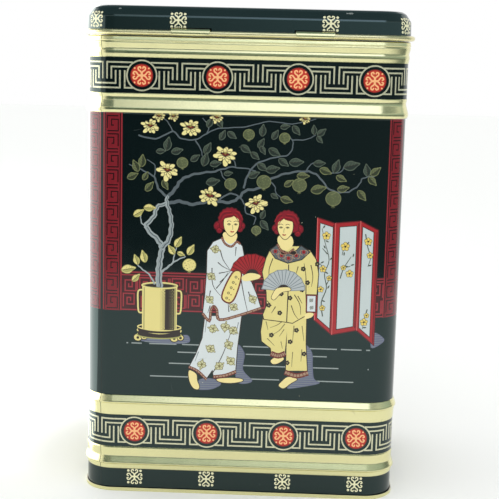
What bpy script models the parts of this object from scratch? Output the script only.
"""A tall rectangular tinplate caddy with a hinged slip-over lid.

Printed sheet is wrapped into a rounded rectangle, seamed at one corner and rolled with beads.
A base panel is hooked round the lower edge, a plain collar stands in the mouth, and the pressed
lid closes over that collar. Two straps pass from the collar through slots in the lid's skirt and
wrap over the skirt's rolled edge, which turns inside them as the hinge.

The origin is at the middle of the base, on the surface that the tin stands on. +X is the width,
+Z is up, and the hinge is on the -Y side. Lengths below are in millimetres.
"""

import math

import bmesh
import bpy

MM = 0.001

# Driving dimensions
WIDTH = 110.0
DEPTH = 80.0
CORNER = 10.4
SHEET = 0.3
GAP = 0.3
CORNER_STEPS = 6

# Heights above the standing surface
RIM_TOP = 1.3
FLOOR = 2.4
STRIP_TOP = 8.3
LOWER_FRET = (16.4, 28.2)
PANEL = (35.4, 134.9)
UPPER_FRET = (141.4, 153.4)
CREASE = 158.9
WALL_TOP = 160.6
COLLAR = (146.0, 168.0)
LID_TOP = 170.8

# How far the sheet stands out of the main panel's plane
STRIP_OUT = 0.1
FRET_OUT = 0.15
BEAD_OUT = 0.85
COLLAR_OUT = -0.45

# The lid's rolled edge, whose centre line on the -Y side is the hinge's axis
CURL_RADIUS = 0.85
CURL_OUT = 1.2
CURL_HEIGHT = 161.8
CURL_ARC = 290.0
ROOF_EDGE = 3.75

# The straps
STRAP_WIDTH = 13.0
STRAP_CENTRES = {"hinge_strap_left": -19.0, "hinge_strap_right": 22.8}
STRAP_RADIUS = 1.15
STRAP_PLATE = 8.0
STRAP_BEND = 0.2
STRAP_WRAP = (195.0, 250.0)
SLOT_SIDE = 0.5
SLOT_SILL = 0.3


def clear_scene():
    for item in list(bpy.data.objects):
        bpy.data.objects.remove(item, do_unlink=True)


def tinplate(name, colour, roughness, metallic):
    """A Principled material for printed, lacquered or bare tinplate."""
    material = bpy.data.materials.new(name)
    material.use_nodes = True
    shader = material.node_tree.nodes["Principled BSDF"]
    shader.inputs["Base Color"].default_value = (*colour, 1.0)
    shader.inputs["Roughness"].default_value = roughness
    shader.inputs["Metallic"].default_value = metallic
    return material


def add_object(name, mesh_data, material):
    """Turn a bmesh, in millimetres, into a named object in metres."""
    bmesh.ops.scale(mesh_data, vec=(MM, MM, MM), verts=mesh_data.verts)
    bmesh.ops.recalc_face_normals(mesh_data, faces=mesh_data.faces)
    mesh = bpy.data.meshes.new(name)
    mesh_data.to_mesh(mesh)
    mesh_data.free()
    mesh.shade_smooth()
    mesh.set_sharp_from_angle(angle=math.radians(30))
    mesh.materials.append(material)
    item = bpy.data.objects.new(name, mesh)
    bpy.context.scene.collection.objects.link(item)
    return item


def rounded_rectangle(out):
    """Plan outline, anticlockwise, standing out of the main panel's plane by out."""
    radius = CORNER + out
    centre_x = WIDTH / 2 - CORNER
    centre_y = DEPTH / 2 - CORNER
    outline = []
    for quarter, (side_x, side_y) in enumerate(((1, 1), (-1, 1), (-1, -1), (1, -1))):
        for step in range(CORNER_STEPS + 1):
            angle = math.radians(90) * (quarter + step / CORNER_STEPS)
            x = side_x * centre_x + radius * math.cos(angle)
            y = side_y * centre_y + radius * math.sin(angle)
            outline.append((x, y))
    return outline


def add_loop(mesh_data, out, height):
    return [mesh_data.verts.new((x, y, height)) for x, y in rounded_rectangle(out)]


def bridge(mesh_data, first, second):
    """Join two loops that have the same number of points."""
    count = len(first)
    for i in range(count):
        j = (i + 1) % count
        mesh_data.faces.new((first[i], first[j], second[j], second[i]))


def swept_ring(section):
    """Sweep a closed section of (out, height) points round the tin."""
    mesh_data = bmesh.new()
    loops = [add_loop(mesh_data, out, height) for out, height in section]
    for first, second in zip(loops, loops[1:] + loops[:1]):
        bridge(mesh_data, first, second)
    return mesh_data


def swept_pan(section):
    """Sweep an open section whose first and last points are the edges of two flat faces."""
    mesh_data = bmesh.new()
    loops = [add_loop(mesh_data, out, height) for out, height in section]
    for first, second in zip(loops, loops[1:]):
        bridge(mesh_data, first, second)
    mesh_data.faces.new(loops[0])
    mesh_data.faces.new(loops[-1])
    return mesh_data


def arc(centre, radius, start, end, steps):
    """Points on an arc in the (out, height) plane, with angles in degrees from outward."""
    points = []
    for step in range(steps + 1):
        angle = math.radians(start + (end - start) * step / steps)
        points.append((centre[0] + radius * math.cos(angle), centre[1] + radius * math.sin(angle)))
    return points


def wall_profile():
    """The wall's outer face from its lower edge to its top, without the turned-in end."""
    low, high = PANEL
    return [
        (STRIP_OUT, RIM_TOP - 0.5),
        (STRIP_OUT, STRIP_TOP),
        (STRIP_OUT + 0.2, STRIP_TOP + 1.5),
        (BEAD_OUT - 0.15, STRIP_TOP + 2.1),
        (BEAD_OUT, STRIP_TOP + 3.0),
        (BEAD_OUT - 0.15, STRIP_TOP + 4.0),
        (0.45, STRIP_TOP + 4.6),
        (0.45, LOWER_FRET[0] - 1.4),
        (FRET_OUT, LOWER_FRET[0]),
        (FRET_OUT, LOWER_FRET[1]),
        (0.45, LOWER_FRET[1] + 1.2),
        (0.55, low - 2.6),
        (BEAD_OUT, low - 2.0),
        (BEAD_OUT, low - 0.5),
        (BEAD_OUT - 0.2, low - 0.1),
        (0.0, low + 0.3),
        (0.0, high - 0.3),
        (BEAD_OUT - 0.2, high + 0.1),
        (BEAD_OUT, high + 0.5),
        (BEAD_OUT, high + 2.4),
        (BEAD_OUT - 0.25, high + 4.1),
        (0.2, high + 5.3),
        (FRET_OUT, UPPER_FRET[0]),
        (FRET_OUT, UPPER_FRET[1]),
        (0.35, UPPER_FRET[1] + 1.4),
        (0.35, CREASE - 0.4),
        (0.2, CREASE),
        (0.5, CREASE + 0.3),
        (0.65, CREASE + 0.8),
    ]


def make_body_wall(material):
    """Printed wall. Its top edge is rolled over and turned in towards the collar."""
    outer = wall_profile()
    turn = arc((0.25, WALL_TOP - 0.4), 0.4, 20, 90, 3) + [(COLLAR_OUT + GAP, WALL_TOP)]
    inner_turn = [(COLLAR_OUT + GAP, WALL_TOP - SHEET), (0.2, WALL_TOP - SHEET)]
    inner = [(out - SHEET, height) for out, height in reversed(outer)]
    return add_object("body_wall", swept_ring(outer + turn + inner_turn + inner), material)


def make_base_panel(material):
    """Recessed floor whose edge runs under the wall and hooks up outside it as the rim."""
    well = STRIP_OUT - SHEET - GAP
    lip = STRIP_OUT + GAP
    section = [
        (well - SHEET - 0.6, FLOOR),
        (well - SHEET, FLOOR - 0.4),
        (well - SHEET, 0.2),
        (well - SHEET + 0.2, 0.0),
        (lip + SHEET - 0.3, 0.0),
        (lip + SHEET, 0.3),
        (lip + SHEET, RIM_TOP - 0.1),
        (lip + SHEET - 0.1, RIM_TOP),
        (lip, RIM_TOP),
        (lip, SHEET + 0.1),
        (well, SHEET + 0.1),
        (well, FLOOR - 0.2),
        (well - 0.6, FLOOR + SHEET),
    ]
    return add_object("base_panel", swept_pan(section), material)


def make_neck_collar(material):
    """Plain ring in the mouth with a rounded top edge and a slot for each strap."""
    inner = COLLAR_OUT - SHEET
    low, high = COLLAR
    lead = 0.5
    section = [
        (COLLAR_OUT, low),
        (COLLAR_OUT, high - lead),
        (COLLAR_OUT - 0.15, high - 0.15),
        (COLLAR_OUT - lead, high),
        (inner - lead, high - SHEET),
        (inner - 0.05, high - lead - 0.1),
        (inner, high - 2 * lead),
        (inner, low),
    ]
    collar = add_object("neck_collar", swept_ring(section), material)
    wall_y = -(DEPTH / 2 + COLLAR_OUT - SHEET / 2)
    half = SHEET / 2 + GAP
    heights = (strap_level() - half, strap_level() + half)
    cut_slots(collar, (wall_y - SHEET, wall_y + SHEET), heights)
    return collar


def strap_level():
    """Height of the middle of a strap where it crosses the top of the rolled edge."""
    return CURL_HEIGHT + STRAP_RADIUS + SHEET / 2


def cut_slots(item, span_y, heights):
    """Cut a slot for each strap through the -Y wall of an item, with an exact Boolean."""
    half = STRAP_WIDTH / 2 + SLOT_SIDE
    for name, centre in STRAP_CENTRES.items():
        low = (centre - half, span_y[0], heights[0])
        high = (centre + half, span_y[1], heights[1])
        cutter = add_object(item.name + "_cutter_" + name, box_mesh(low, high), item.data.materials[0])
        cutter.hide_render = True
        cutter.display_type = "WIRE"
        cut = item.modifiers.new("slot_" + name, "BOOLEAN")
        cut.operation = "DIFFERENCE"
        cut.solver = "EXACT"
        cut.object = cutter


def box_mesh(low, high):
    mesh_data = bmesh.new()
    bmesh.ops.create_cube(mesh_data, size=1.0)
    for vert in mesh_data.verts:
        vert.co = [low[i] + (vert.co[i] + 0.5) * (high[i] - low[i]) for i in range(3)]
    return mesh_data


def lid_section():
    """Outer face from the roof down to the curl, round it, and back up the inner face."""
    skirt_in = CURL_OUT - CURL_RADIUS
    skirt_out = skirt_in + SHEET
    edge_height = LID_TOP - ROOF_EDGE
    curl = (CURL_OUT, CURL_HEIGHT)
    outer_roof = arc((skirt_out - ROOF_EDGE, edge_height), ROOF_EDGE, 90, 0, 6)
    inner_roof = arc((skirt_out - ROOF_EDGE, edge_height), ROOF_EDGE - SHEET, 0, 90, 6)
    # The curl leaves the skirt's foot, runs under and out, and ends beside the skirt again.
    inside_curl = arc(curl, CURL_RADIUS - SHEET, 180, 180 + CURL_ARC, 10)
    outside_curl = arc(curl, CURL_RADIUS, 180 + CURL_ARC, 180, 12)
    return outer_roof + inside_curl + outside_curl + inner_roof


def make_lid_shell(material):
    """Pressed lid with a rolled lower edge, slotted above the roll for the straps."""
    lid = add_object("lid_shell", swept_pan(lid_section()), material)
    skirt_face = -(DEPTH / 2 + CURL_OUT - CURL_RADIUS + SHEET)
    span_y = (skirt_face - 0.1, skirt_face + 2 * SHEET)
    cut_slots(lid, span_y, (CURL_HEIGHT + SLOT_SILL, strap_level() + SHEET / 2 + GAP))
    return lid


def strap_path(wrap, radius, depth):
    """Section line of a strap in (y, z): up inside the collar, out, and over the curl.

    depth is how far this face lies from the face that touches the curl's side.
    """
    axis_y = -(DEPTH / 2 + CURL_OUT)
    plate_y = -(DEPTH / 2 + COLLAR_OUT - SHEET - GAP) + SHEET
    inner_y = plate_y - SHEET + depth
    foot = CURL_HEIGHT - STRAP_PLATE
    points = [(inner_y, foot), (inner_y, CURL_HEIGHT + radius - STRAP_BEND)]
    points.append((inner_y - STRAP_BEND, CURL_HEIGHT + radius))
    steps = 8
    for step in range(steps + 1):
        angle = math.radians(90 + (wrap - 90) * step / steps)
        points.append((axis_y + radius * math.cos(angle), CURL_HEIGHT + radius * math.sin(angle)))
    return points


def make_strap(name, centre, material):
    """Strap with a tongue that is longest in the middle of its width."""
    columns = 8
    mesh_data = bmesh.new()
    grid = []
    for column in range(columns + 1):
        across = 2 * column / columns - 1
        wrap = STRAP_WRAP[0] + (STRAP_WRAP[1] - STRAP_WRAP[0]) * math.sqrt(1 - across * across)
        x = centre + across * STRAP_WIDTH / 2
        near = strap_path(wrap, STRAP_RADIUS, 0.0)
        far = strap_path(wrap, STRAP_RADIUS + SHEET, SHEET)
        section = near + far[::-1]
        grid.append([mesh_data.verts.new((x, y, z)) for y, z in section])
    for first, second in zip(grid, grid[1:]):
        bridge(mesh_data, first, second)
    count = len(grid[0]) // 2
    for section in (grid[0], grid[-1]):
        for i in range(count - 1):
            j = len(section) - 1 - i
            mesh_data.faces.new((section[i], section[i + 1], section[j - 1], section[j]))
    return add_object(name, mesh_data, material)


def add_lid_pivot(lid):
    """Parent the lid to an empty on the hinge's axis."""
    pivot = bpy.data.objects.new("lid_pivot", None)
    pivot.location = (0.0, -(DEPTH / 2 + CURL_OUT) * MM, CURL_HEIGHT * MM)
    bpy.context.scene.collection.objects.link(pivot)
    bpy.context.view_layer.update()
    lid.parent = pivot
    lid.matrix_parent_inverse = pivot.matrix_world.inverted()


def main():
    clear_scene()
    printed = tinplate("printed_wall", (0.02, 0.03, 0.03), 0.15, 0.1)
    gold = tinplate("gold_rim", (0.78, 0.7, 0.4), 0.25, 0.9)
    bare = tinplate("plain_collar", (0.7, 0.68, 0.6), 0.3, 1.0)
    lid_print = tinplate("printed_lid", (0.02, 0.03, 0.03), 0.12, 0.1)
    strap_gold = tinplate("gold_strap", (0.8, 0.72, 0.42), 0.22, 0.9)
    make_body_wall(printed)
    make_base_panel(gold)
    make_neck_collar(bare)
    lid = make_lid_shell(lid_print)
    add_lid_pivot(lid)
    for name, centre in STRAP_CENTRES.items():
        make_strap(name, centre, strap_gold)


main()
